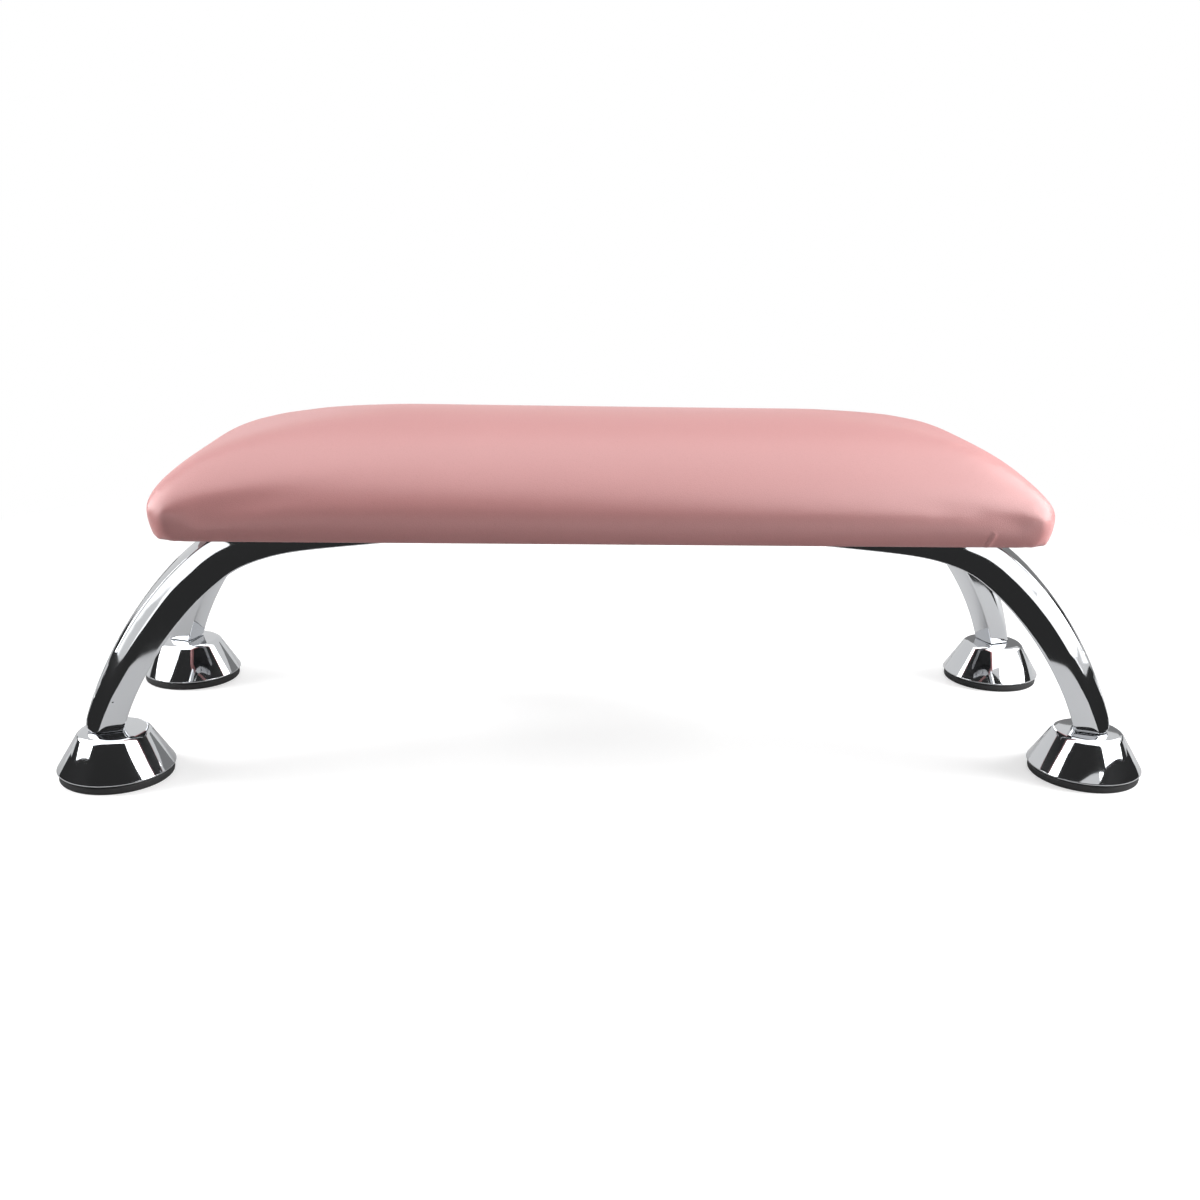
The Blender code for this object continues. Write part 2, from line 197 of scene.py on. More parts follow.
def syntheticLeather():
    # Polyurethane skin on a knitted back, rolled with a fine grain: satin, even in colour,
    # with a soft highlight where it is drawn tight over the foam, and painted shade in its grain's
    # valleys.
    material, tree, shader = newMaterial("rolledPolyurethaneLeather", "#B67A79", 0.36,
                                         Specular_IOR_Level=0.75, Coat_Weight=0.15,
                                         Coat_Roughness=0.28)
    place = addNode(tree, "ShaderNodeTexCoord").outputs["Object"]
    cloud = addNode(tree, "ShaderNodeTexNoise", {"Scale": 1 / (60 * mm), "Detail": 3.0},
                    {"Vector": place})
    tint = addNode(tree, "ShaderNodeMix",
                   {"data_type": "RGBA", 6: (*linear("#B37776"), 1), 7: (*linear("#BA7E7D"), 1)},
                   {0: cloud.outputs["Fac"]})
    grain = addNode(tree, "ShaderNodeTexVoronoi",
                    {"feature": "DISTANCE_TO_EDGE", "Scale": 1 / (0.7 * mm)}, {"Vector": place})
    valley = addNode(tree, "ShaderNodeMapRange", {"From Max": 0.12},
                     {"Value": grain.outputs["Distance"]})
    # Painted shade: the grain's valleys are painted darker, towards a deeper pink
    deep = addNode(tree, "ShaderNodeMix", {"data_type": "RGBA", 0: 0.0, 6: (*linear("#A66C6B"), 1)},
                   {7: tint.outputs[2]})
    soft = addNode(tree, "ShaderNodeMapRange", {"To Min": 0.75, "To Max": 1.0},
                   {"Value": valley.outputs["Result"]})
    tree.links.new(soft.outputs["Result"], deep.inputs[0])
    tree.links.new(deep.outputs[2], shader.inputs["Base Color"])
    pull = addNode(tree, "ShaderNodeTexNoise", {"Scale": 1 / (14 * mm), "Detail": 2.0},
                   {"Vector": place})
    rise = addNode(tree, "ShaderNodeMath", {"operation": "MULTIPLY_ADD", 1: 2.5},
                   {0: pull.outputs["Fac"], 2: valley.outputs["Result"]})
    bump = addNode(tree, "ShaderNodeBump", {"Strength": 0.5, "Distance": 0.03 * mm},
                   {"Height": rise.outputs[0]})
    tree.links.new(bump.outputs["Normal"], shader.inputs["Normal"])
    return material


def mouldedRubber():
    # Black natural rubber, compression moulded: matt, with fine pores painted darker as painted shade.
    material, tree, shader = newMaterial("mouldedBlackRubber", "#1B1B1C", 0.62)
    place = addNode(tree, "ShaderNodeTexCoord").outputs["Object"]
    pores = addNode(tree, "ShaderNodeTexNoise", {"Scale": 1 / (0.8 * mm), "Detail": 4.0},
                    {"Vector": place})
    # Painted shade: darker where the pores' bump sinks, lighter where it stands up
    tint = addNode(tree, "ShaderNodeMix",
                   {"data_type": "RGBA", 6: (*linear("#161617"), 1), 7: (*linear("#29292A"), 1)},
                   {0: pores.outputs["Fac"]})
    tree.links.new(tint.outputs[2], shader.inputs["Base Color"])
    bump = addNode(tree, "ShaderNodeBump", {"Strength": 0.6, "Distance": 0.08 * mm},
                   {"Height": pores.outputs["Fac"]})
    tree.links.new(bump.outputs["Normal"], shader.inputs["Normal"])
    return material


def spunLining():
    # Black spun-bonded polypropylene: matt felted strands, pressed with a grid of small dots.
    material, tree, shader = newMaterial("spunBondedLining", "#1D1D1F", 0.85, Sheen_Weight=0.15,
                                         Sheen_Roughness=0.5)
    place = addNode(tree, "ShaderNodeTexCoord").outputs["Object"]
    dots = addNode(tree, "ShaderNodeTexVoronoi", {"Scale": 1 / (1.6 * mm), "Randomness": 0.15},
                   {"Vector": place})
    press = addNode(tree, "ShaderNodeMapRange", {"From Min": 0.18, "From Max": 0.34},
                    {"Value": dots.outputs["Distance"]})
    strands = addNode(tree, "ShaderNodeTexNoise",
                      {"Scale": 1 / (0.5 * mm), "Detail": 5.0, "Distortion": 1.2}, {"Vector": place})
    tint = addNode(tree, "ShaderNodeMix",
                   {"data_type": "RGBA", 6: (*linear("#121213"), 1), 7: (*linear("#2C2C2E"), 1)},
                   {0: strands.outputs["Fac"]})
    tree.links.new(tint.outputs[2], shader.inputs["Base Color"])
    height = addNode(tree, "ShaderNodeMath", {"operation": "MULTIPLY_ADD", 1: 0.5},
                     {0: strands.outputs["Fac"], 2: press.outputs["Result"]})
    bump = addNode(tree, "ShaderNodeBump", {"Strength": 0.8, "Distance": 0.15 * mm},
                   {"Height": height.outputs[0]})
    tree.links.new(bump.outputs["Normal"], shader.inputs["Normal"])
    return material


def zincPlatedSteel():
    # Cold-headed steel screws with bright zinc: a soft metal shine, dulled in blotches.
    material, tree, shader = newMaterial("zincPlatedSteel", "#B9BCC0", 0.32, 1.0)
    place = addNode(tree, "ShaderNodeTexCoord").outputs["Object"]
    spangle = addNode(tree, "ShaderNodeTexNoise", {"Scale": 1 / (1.5 * mm), "Detail": 3.0},
                      {"Vector": place})
    dull = addNode(tree, "ShaderNodeMapRange", {"To Min": 0.24, "To Max": 0.42},
                   {"Value": spangle.outputs["Fac"]})
    tree.links.new(dull.outputs["Result"], shader.inputs["Roughness"])
    return material


def birchPlywood():
    # Sanded birch plywood: pale, with long grain along the board and darker glue lines at its edges.
    material, tree, shader = newMaterial("sandedBirchPlywood", "#C9A87C", 0.6)
    place = addNode(tree, "ShaderNodeTexCoord").outputs["Object"]
    stretched = addNode(tree, "ShaderNodeMapping",
                        {"Scale": (1 / (60 * mm), 1 / (3 * mm), 1 / (1.4 * mm))}, {"Vector": place})
    figure = addNode(tree, "ShaderNodeTexNoise", {"Scale": 1.0, "Detail": 6.0, "Distortion": 0.4},
                     {"Vector": stretched.outputs["Vector"]})
    tint = addNode(tree, "ShaderNodeMix",
                   {"data_type": "RGBA", 6: (*linear("#B58F60"), 1), 7: (*linear("#D8BB90"), 1)},
                   {0: figure.outputs["Fac"]})
    tree.links.new(tint.outputs[2], shader.inputs["Base Color"])
    bump = addNode(tree, "ShaderNodeBump", {"Strength": 0.4, "Distance": 0.1 * mm},
                   {"Height": figure.outputs["Fac"]})
    tree.links.new(bump.outputs["Normal"], shader.inputs["Normal"])
    return material


def polyurethaneFoam():
    # Cut flexible polyurethane foam: pale yellow, matt, open cells about half a millimetre wide,
    # with painted shade in their hollows.
    material, tree, shader = newMaterial("cutPolyurethaneFoam", "#E6DDB4", 0.95)
    place = addNode(tree, "ShaderNodeTexCoord").outputs["Object"]
    cells = addNode(tree, "ShaderNodeTexVoronoi", {"Scale": 1 / (0.6 * mm)}, {"Vector": place})
    # Painted shade: each cell is darker in its hollow middle and paler at its rim, following the bump
    tint = addNode(tree, "ShaderNodeMix",
                   {"data_type": "RGBA", 6: (*linear("#CDBF8C"), 1), 7: (*linear("#EFE7C4"), 1)},
                   {0: cells.outputs["Distance"]})
    tree.links.new(tint.outputs[2], shader.inputs["Base Color"])
    bump = addNode(tree, "ShaderNodeBump", {"Strength": 0.7, "Distance": 0.25 * mm},
                   {"Height": cells.outputs["Distance"]})
    tree.links.new(bump.outputs["Normal"], shader.inputs["Normal"])
    return material


chrome = chromePlating()
leather = syntheticLeather()
rubber = mouldedRubber()
lining = spunLining()
steel = zincPlatedSteel()
plywood = birchPlywood()
foam = polyurethaneFoam()
print("materials made")


# Cushion: drawn up ring by ring, swollen as cloth, then its skin and its foam are taken from it

cushion = {
    "left": -154.2 * mm,  # the cover sits about 2 mm to the left of the feet's middle
    "right": 150.2 * mm,
    "width": 110 * mm,
    "corner": 9 * mm,
    "bottom": 83.1 * mm,
    "fold": 0.8 * mm,  # the bottom edge is folded round the board
    "rings": (  # mm above the bottom, and mm in from the left end, the right end and the sides
        (0.4, 1.0, 0.4, 1.0), (1.4, 0.7, 0.1, 0.8), (4, 0.1, -0.4, 0.4), (7, -0.8, -1.0, 0.1),
        (10, -1.2, -1.2, 0), (13.9, -0.5, -0.4, 2.3), (17.8, 2.2, 2.9, 5.8), (21.5, 6.7, 7.9, 10.0),
        (24.9, 12.6, 12.5, 14.8), (28.1, 20, 18.3, 19.8), (31, 30, 26, 25.2), (33.4, 41, 35.3, 31),
        (35.4, 52.5, 47, 36.7), (36.7, 62.6, 58.3, 41.4), (37.6, 72.8, 67.7, 45.7),
        (38.1, 81, 73, 48.5)),
    "bandTuck": 1 * mm,
    "skin": 0.9 * mm,
    "turnIn": 16 * mm,
    "boardTop": 91.5 * mm,
    "foamGap": 0.3 * mm,  # between the foam and the skin, and between the foam and the board
    "startSmaller": 0.5 * mm,
    "voxel": 3.2 * mm,
    "flatBelow": 1.7 * mm,  # all points this near the bottom are laid flat
    "soleBelow": 0.4 * mm,
}
swelling = {"heldBelow": 2 * mm, "quality": 6, "mass": 0.3, "pressure": 4, "frames": 20,
            "furthest": 1.5 * mm}  # no point moves further than this
easing = {"above": 11 * mm, "over": 10 * mm,  # where the easing starts, and how soon it is full
          "share": 0.5, "crownTimes": 26, "bandTimes": 2}


def skinOutline(insets):
    # Middle along X, half length and half width of the cushion at one ring
    c = cushion
    left = c["left"] + insets[0] * mm + c["startSmaller"]
    right = c["right"] - insets[1] * mm - c["startSmaller"]
    return (left + right) / 2, (right - left) / 2, c["width"] / 2 - insets[2] * mm - c["startSmaller"]


def makeCushionForm():
    c = cushion
    middleX, halfX, halfY = skinOutline(c["rings"][0][1:])
    deselectAll()
    bpy.ops.mesh.primitive_plane_add(size=2, location=(middleX, 0, c["bottom"]))
    form = newPiece("cushionForm")
    form.scale = (halfX, halfY, 1)
    freezePlace(form)
    startEdit(form)
    bpy.ops.mesh.select_mode(type="VERT")
    bpy.ops.mesh.select_all(action="SELECT")
    bpy.ops.mesh.bevel(offset=c["corner"], segments=5, affect="VERTICES")
    bpy.ops.mesh.select_mode(type="FACE")
    bpy.ops.mesh.select_all(action="SELECT")
    middle = Vector((middleX, 0, c["bottom"]))
    nowX, nowY = halfX - c["fold"], halfY - c["fold"]
    bpy.ops.transform.resize(value=(nowX / halfX, nowY / halfY, 1), center_override=middle)
    for height, *insets in c["rings"]:
        newMiddle, halfX, halfY = skinOutline(insets)
        step = (newMiddle - middle.x, 0, c["bottom"] + height * mm - middle.z)
        bpy.ops.mesh.extrude_region_move(TRANSFORM_OT_translate={"value": step})
        middle += Vector(step)
        bpy.ops.transform.resize(value=(halfX / nowX, halfY / nowY, 1), center_override=middle)
        nowX, nowY = halfX, halfY
    bpy.ops.mesh.select_all(action="SELECT")
    bpy.ops.mesh.normals_make_consistent(inside=False)
    endEdit()
    form.data.remesh_voxel_size = c["voxel"]
    bpy.ops.object.voxel_remesh()
    return form


def keepFlatBottom(form, reach):
    startEdit(form)
    level = cushion["bottom"]
    pick(form, lambda v: v.co.z < level + reach)
    middle = Vector((0, 0, level))
    bpy.ops.transform.resize(value=(1, 1, 0), center_override=middle)
    endEdit()


def swellCushion(form):
    start = [v.co.copy() for v in form.data.vertices]
    held = form.vertex_groups.new(name="held")
    level = cushion["bottom"] + swelling["heldBelow"]
    held.add([v.index for v in form.data.vertices if v.co.z < level], 1, "REPLACE")
    activate(form)
    cloth = form.modifiers.new("Cloth", "CLOTH")
    cloth.settings.quality = swelling["quality"]
    cloth.settings.mass = swelling["mass"]
    cloth.settings.use_pressure = True
    cloth.settings.uniform_pressure_force = swelling["pressure"]
    cloth.settings.vertex_group_mass = "held"
    cloth.settings.effector_weights.gravity = 0
    cloth.collision_settings.use_collision = False
    cloth.point_cache.frame_start = 1
    cloth.point_cache.frame_end = swelling["frames"]
    scene = bpy.context.scene
    for number in range(1, swelling["frames"] + 1):
        scene.frame_set(number)
    bpy.ops.object.modifier_apply(modifier="Cloth")
    scene.frame_set(1)
    for vertex, place in zip(form.data.vertices, start):
        step = vertex.co - place
        if step.length > swelling["furthest"]:
            vertex.co = place + step.normalized() * swelling["furthest"]


def easeCrown(form):
    # Leather over foam has no hard ridge: the crown is eased a lot and the band only a little
    crown = form.vertex_groups.new(name="crown")
    low = cushion["bottom"] + easing["above"]
    for vertex in form.data.vertices:
        crown.add([vertex.index], max(0, min(1, (vertex.co.z - low) / easing["over"])), "REPLACE")
    applyModifier(form, "SMOOTH", factor=easing["share"], iterations=easing["crownTimes"],
                  vertex_group="crown")
    applyModifier(form, "SMOOTH", factor=easing["share"], iterations=easing["bandTimes"])


pleat = {
    "foot": (125.4 * mm, 83.3 * mm),  # along X and up
    "head": (127.7 * mm, 88.2 * mm),
    "below": 0.4 * mm,  # it starts this far under its foot
    "front": -50 * mm,
    "finerWithin": 4 * mm,
    "line": 0.3 * mm,
    "reach": 1.1 * mm,
    "folds": ((0, 0.3 * mm), (-1.2 * mm, -0.18 * mm)),  # aside and forward: a ridge, then a groove
}


def makePleat(form):
    # A small slanted fold at the front, where the skin was drawn round the corner
    p = pleat
    footX, footZ = p["foot"]
    headX, headZ = p["head"]

    def aside(place):
        return place.x - footX - (headX - footX) * (place.z - footZ) / (headZ - footZ)

    def atFront(place):
        return place.y < p["front"] and footZ - p["below"] < place.z < headZ

    startEdit(form)
    pick(form, lambda f: atFront(f.calc_center_median())
         and abs(aside(f.calc_center_median())) < p["finerWithin"], "FACE")
    bpy.ops.mesh.subdivide(number_cuts=2)
    for shift, forward in p["folds"]:
        pick(form, lambda v: atFront(v.co) and abs(aside(v.co) - shift) < p["line"])
        bpy.ops.transform.translate(value=(0, -forward, 0), use_proportional_edit=True,
                                    proportional_edit_falloff="SMOOTH",
                                    proportional_size=p["reach"])
    endEdit()


def makeCover(form):
    c = cushion
    cover = copyOf(form, "cushionCover")
    startEdit(cover)  # the underside is open inside the turned-in edge
    insideX = (c["right"] - c["left"]) / 2 - c["bandTuck"] - c["turnIn"]
    insideY = c["width"] / 2 - c["bandTuck"] - c["turnIn"]
    sole = c["bottom"] + c["soleBelow"]
    for place, normal in (((insideX, 0, 0), (1, 0, 0)), ((-insideX, 0, 0), (1, 0, 0)),
                          ((0, insideY, 0), (0, 1, 0)), ((0, -insideY, 0), (0, 1, 0))):
        pick(cover, lambda f: f.calc_center_median().z < sole, "FACE")
        bpy.ops.mesh.bisect(plane_co=place, plane_no=normal)
    pick(cover, lambda f: f.calc_center_median().z < sole
         and abs(f.calc_center_median().x) < insideX
         and abs(f.calc_center_median().y) < insideY, "FACE")
    bpy.ops.mesh.delete(type="FACE")
    endEdit()
    applyModifier(cover, "SOLIDIFY", thickness=c["skin"], offset=-1)
    smoothShade(cover, 60)
    stand(cover, "cushion_cover", leather)
    print("cover made:", len(cover.data.polygons), "faces")


def makeFoam(core):
    c = cushion
    core.name = core.data.name = "foamCore"
    applyModifier(core, "DISPLACE", strength=-(c["skin"] + c["foamGap"]), mid_level=0)
    startEdit(core)
    bpy.ops.mesh.select_all(action="SELECT")
    bpy.ops.mesh.bisect(plane_co=(0, 0, c["boardTop"] + c["foamGap"]), plane_no=(0, 0, 1),
                        use_fill=True, clear_inner=True)
    endEdit()
    smoothShade(core, 50)
    stand(core, "foam_pad", foam)
    print("foam made")


def makeCushion():
    form = makeCushionForm()
    swellCushion(form)
    easeCrown(form)
    keepFlatBottom(form, cushion["flatBelow"])
    applyModifier(form, "SUBSURF", levels=1, render_levels=1)
    makePleat(form)
    makeCover(form)
    makeFoam(form)


makeCushion()


# Lining: a thin cloth stretched under the board and over the cover's turned-in edge

underside = {
    "halfX": 142.5 * mm,
    "halfY": 46 * mm,
    "corner": 8 * mm,  # wider than the hem, or the hem's inner corners would cross
    "level": 82.6 * mm,
    "hem": 7 * mm,
    "hemStep": 0.15 * mm,
}


def makeLining():
    u = underside
    deselectAll()
    bpy.ops.mesh.primitive_plane_add(size=2, location=(0, 0, u["level"]))
    sheet = newPiece("undersideLining")
    sheet.scale = (u["halfX"], u["halfY"], 1)
    freezePlace(sheet)
    startEdit(sheet)
    bpy.ops.mesh.select_mode(type="VERT")
    bpy.ops.mesh.select_all(action="SELECT")
    bpy.ops.mesh.bevel(offset=u["corner"], segments=4, affect="VERTICES")
    bpy.ops.mesh.select_mode(type="FACE")
    bpy.ops.mesh.select_all(action="SELECT")
    bpy.ops.mesh.inset(thickness=u["hem"], depth=u["hemStep"])  # the edge is folded in as a hem
    bpy.ops.mesh.select_all(action="SELECT")
    bpy.ops.mesh.flip_normals()  # its outer side looks down
    endEdit()
    smoothShade(sheet, 30)
    stand(sheet, "underside_lining", lining)


makeLining()
print("lining made")


# Legs: one cast bar each, drawn station by station from the foot up and in under the cushion

leg = {
    "bottom": 16.7 * mm,
    "top": 81.9 * mm,
    "outerRun": (8.8, 3.4, -13.5, -37.5),  # mm outward from the foot's axis, as curve handles
    "outerRise": (0, 0.30, 0.79, 1),
    "innerRun": (-3.3, -10.8, -31, -45),
    "innerRise": (0, 0.44, 0.87, 1),
    "rootDepth": 11 * mm,
    "tipEnd": -112 * mm,
    "arm": (  # share of its length, and mm deep
        (0.12, 8.4), (0.26, 6.9), (0.5, 6.5), (0.93, 6.2), (1.0, 6.0)),
    "outerWidth": (1.8 * mm, 11.2 * mm),
    "innerWidth": (10.8 * mm, 12.8 * mm),
    "armWidth": 13 * mm,
    "tipWidth": 9 * mm,
    "startWidth": 10 * mm,
    "setX": -0.9 * mm,  # off the CAD legs' place, only because the photograph's outlines fit better
    "setY": 1.2 * mm,
    "ridgeAt": (0.28, 0.38),  # each side has a soft ridge at this share of the bar's depth
    "ridgeCrease": 0.42,
    "innerSwell": 0.5 * mm,
    "innerFacing": (-0.75, -0.66),  # outward and up
    "outerSwell": 0.5,  # how far the outer face stands proud, as a share of half its width
    "outerFacing": (15, 58),  # degrees above level that it faces at the foot and at the root
    "edgeRadius": 0.8 * mm,
    "sharpAbove": 38,  # degrees, where an edge gets that radius
    "stations": 11,
    "screwsAt": (-64 * mm, -95 * mm),
    "screwSeat": 77.4 * mm,
    "pocketRadius": 3.7 * mm,
    "pocketLow": 60 * mm,
}
sameSpot = 0.02 * mm


def curveValue(handles, t):
    a, b, c, d = handles
    s = 1 - t
    return a * s ** 3 + 3 * b * s * s * t + 3 * c * s * t * t + d * t ** 3


def blendOf(pair, t):
    return pair[0] + (pair[1] - pair[0]) * t


def legStations():
    # Each station gives (outward, height, width) of the outer, middle and inner row
    p = leg
    stations = []
    for i in range(p["stations"] + 1):
        t = i / p["stations"]
        rise = p["top"] - p["bottom"]
        outer = (curveValue(p["outerRun"], t) * mm, p["bottom"] + rise * curveValue(p["outerRise"], t))
        rise -= p["rootDepth"]
        inner = (curveValue(p["innerRun"], t) * mm, p["bottom"] + rise * curveValue(p["innerRise"], t))
        stations.append((outer, inner, blendOf(p["outerWidth"], t), blendOf(p["innerWidth"], t)))
    rootOuter, rootInner = stations[-1][0], stations[-1][1]
    for t, depth in p["arm"]:
        outer = (blendOf((rootOuter[0], p["tipEnd"]), t), p["top"])
        inner = (blendOf((rootInner[0], p["tipEnd"]), t), p["top"] - depth * mm)
        width = p["armWidth"] if t < 1 else p["tipWidth"]
        stations.append((outer, inner, width, width))
    rows = []
    for number, (outer, inner, outerWidth, innerWidth) in enumerate(stations):
        share = blendOf(p["ridgeAt"], min(1, number / p["stations"]))
        ridge = tuple(blendOf(pair, share) for pair in zip(outer, inner))
        rows.append(((outer, outerWidth), (ridge, innerWidth), (inner, innerWidth)))
    return rows


def isAt(vertex, spot):
    return abs(vertex.co.x - spot[0]) < sameSpot and abs(vertex.co.z - spot[1]) < sameSpot


def isMiddle(vertex):
    return abs(vertex.co.y) < sameSpot


def roundLegFaces(bar, rows):
    # The middle line of the inner and outer face is drawn out, so that the smoothing rounds them
    swell = leg["innerSwell"]
    inners = [row[2][0] for row in rows]
    pick(bar, lambda v: isMiddle(v) and any(isAt(v, spot) for spot in inners))
    outward, up = leg["innerFacing"]
    bpy.ops.transform.translate(value=(outward * swell, 0, up * swell))
    for number, (outer, ridge, inner) in enumerate(rows[:leg["stations"]]):
        spot, width = outer
        share = number / leg["stations"]
        proud = leg["outerSwell"] * (1 - share) * width / 2
        facing = math.radians(blendOf(leg["outerFacing"], share))
        pick(bar, lambda v: isMiddle(v) and isAt(v, spot))
        bpy.ops.transform.translate(value=(proud * math.cos(facing), 0, proud * math.sin(facing)))


def makeLegBar():
    rows = legStations()
    deselectAll()
    startWidth = leg["startWidth"]
    bpy.ops.mesh.primitive_grid_add(x_subdivisions=2, y_subdivisions=2, size=startWidth,
                                    location=(0, 0, leg["bottom"]))
    bar = newPiece("legBar")
    freezePlace(bar)
    startEdit(bar)
    now = [((startWidth / 2, leg["bottom"]), startWidth), ((0, leg["bottom"]), startWidth),
           ((-startWidth / 2, leg["bottom"]), startWidth)]
    for number, target in enumerate(rows):
        if number:
            pick(bar, lambda v: any(isAt(v, s) for s, width in now))
            step = (target[0][0][0] - now[0][0][0], 0, target[0][0][1] - now[0][0][1])
            bpy.ops.mesh.extrude_region_move(TRANSFORM_OT_translate={"value": step})
            now = [((s[0] + step[0], s[1] + step[2]), width) for s, width in now]
        for (spot, width), (place, newWidth) in zip(now, target):
            pick(bar, lambda v: isAt(v, spot))
            bpy.ops.transform.resize(value=(1, newWidth / width, 1), center_override=(0, 0, 0))
            bpy.ops.transform.translate(value=(place[0] - spot[0], 0, place[1] - spot[1]))
        now = list(target)
    roundLegFaces(bar, rows)
    bpy.ops.mesh.select_all(action="SELECT")
    bpy.ops.mesh.normals_make_consistent(inside=False)
    places = {(number, line): row[line][0] for number, row in enumerate(rows) for line in (0, 1, 2)}

    def placeOf(v):
        return next((key for key, spot in places.items() if isAt(v, spot)), None)

    def runsAlong(line):
        def test(e):
            first, second = (placeOf(v) for v in e.verts)
            return (first and second and first[1] == second[1] == line and first[0] != second[0]
                    and all(abs(v.co.y) > touch for v in e.verts))
        return test

    for line, crease in ((0, 1), (1, leg["ridgeCrease"]), (2, 1)):
        pick(bar, runsAlong(line), "EDGE")
        bpy.ops.transform.edge_crease(value=crease)
    pick(bar, lambda e: max(v.co.z for v in e.verts) < leg["bottom"] + hair
         and any(abs(f.normal.z) < 0.9 for f in e.link_faces), "EDGE")
    bpy.ops.transform.edge_crease(value=1)
    endEdit()
    applyModifier(bar, "SUBSURF", levels=3, render_levels=3)
    applyModifier(bar, "BEVEL", width=leg["edgeRadius"], segments=3, limit_method="ANGLE",
                  angle_limit=math.radians(leg["sharpAbove"]))
    for outward in leg["screwsAt"]:  # pockets for the screw heads, open downward
        deselectAll()
        high, low = leg["screwSeat"], leg["pocketLow"]
        bpy.ops.mesh.primitive_cylinder_add(vertices=32, radius=leg["pocketRadius"],
                                            depth=high - low, location=(outward, 0, (high + low) / 2))
        pocket = newPiece("pocket")
        applyModifier(bar, "BOOLEAN", operation="DIFFERENCE", solver="EXACT", object=pocket)
        bpy.data.objects.remove(pocket, do_unlink=True)
    return bar


def setAtCorner(piece, corner, offset):
    turn, side, row = corners[corner]
    foot = Vector((side * stance["x"], row * stance["y"], 0)) + Vector(offset)
    piece.matrix_world = Matrix.Translation(foot) @ Matrix.Rotation(math.radians(turn), 4, "Z")
    freezePlace(piece)


def atEachCorner(model, nodeStem, material, degrees, offset=(0, 0, 0)):
    for corner in corners:
        node = f"{nodeStem}_{corner}"
        piece = copyOf(model, camel(node))
        setAtCorner(piece, corner, offset)
        smoothShade(piece, degrees)
        stand(piece, node, material)
    bpy.data.objects.remove(model, do_unlink=True)


legOffset = (leg["setX"], leg["setY"], 0)
atEachCorner(makeLegBar(), "leg", chrome, 30, legOffset)
print("legs made")


# Foot cones: turned zinc, hollow below, with a rounded shoulder and a rolled lip

cone = {
    "bottom": 3.1 * mm,
    "height": 13.3 * mm,
    "radius": 19.8 * mm,
    "topRadius": 11.6 * mm,
    "shoulder": 1.5 * mm,
    "lip": 0.8 * mm,
    "wall": 2.4 * mm,
    "roof": 3.4 * mm,
    "bore": 1.9 * mm,
    "rimTrim": 0.6 * mm,  # the flat ring under the wall is this much narrower
}


def makeCone():
    p = cone
    top = p["bottom"] + p["height"]
    deselectAll()
    bpy.ops.mesh.primitive_cone_add(vertices=96, radius1=p["radius"], radius2=p["topRadius"],
                                    depth=p["height"], location=(0, 0, p["bottom"] + p["height"] / 2))
    body = newPiece("footCone")
    freezePlace(body)
    startEdit(body)
    pick(body, lambda e: all(v.co.z > top - touch for v in e.verts), "EDGE")
    bpy.ops.mesh.bevel(offset=p["shoulder"], segments=6, affect="EDGES")
    pick(body, lambda e: all(v.co.z < p["bottom"] + touch for v in e.verts), "EDGE")
    bpy.ops.mesh.bevel(offset=p["lip"], segments=5, affect="EDGES")
    pick(body, lambda f: f.calc_center_median().z < p["bottom"] + touch and len(f.verts) > 8, "FACE")
    bpy.ops.mesh.inset(thickness=p["wall"] - p["rimTrim"])
    cavity = p["height"] - p["roof"]
    slope = (p["radius"] - p["topRadius"]) / p["height"]
    rim = p["radius"] - p["wall"]
    bpy.ops.mesh.extrude_region_move(TRANSFORM_OT_translate={"value": (0, 0, cavity)})
    shrink = (rim - cavity * slope) / rim
    bpy.ops.transform.resize(value=(shrink, shrink, 1), center_override=(0, 0, p["bottom"] + cavity))
    bpy.ops.mesh.select_all(action="SELECT")
    bpy.ops.mesh.normals_make_consistent(inside=False)
    endEdit()
    deselectAll()
    bpy.ops.mesh.primitive_cylinder_add(vertices=32, radius=p["bore"], depth=3 * p["roof"],
                                        location=(0, 0, top))
    drill = newPiece("drill")
    applyModifier(body, "BOOLEAN", operation="DIFFERENCE", solver="EXACT", object=drill)
    bpy.data.objects.remove(drill, do_unlink=True)
    return body


atEachCorner(makeCone(), "foot_cone", chrome, 25)
print("cones made")


# Rubber pads: moulded discs with a plug that sits up in the hollow cone

pad = {"radius": 18.9 * mm, "thickness": 2.8 * mm, "edge": 0.6 * mm, "plugRadius": 15.1 * mm,
       "plugHeight": 1.8 * mm, "tread": 0.35 * mm, "treadStep": 3.2 * mm, "treadWidth": 1.2 * mm}


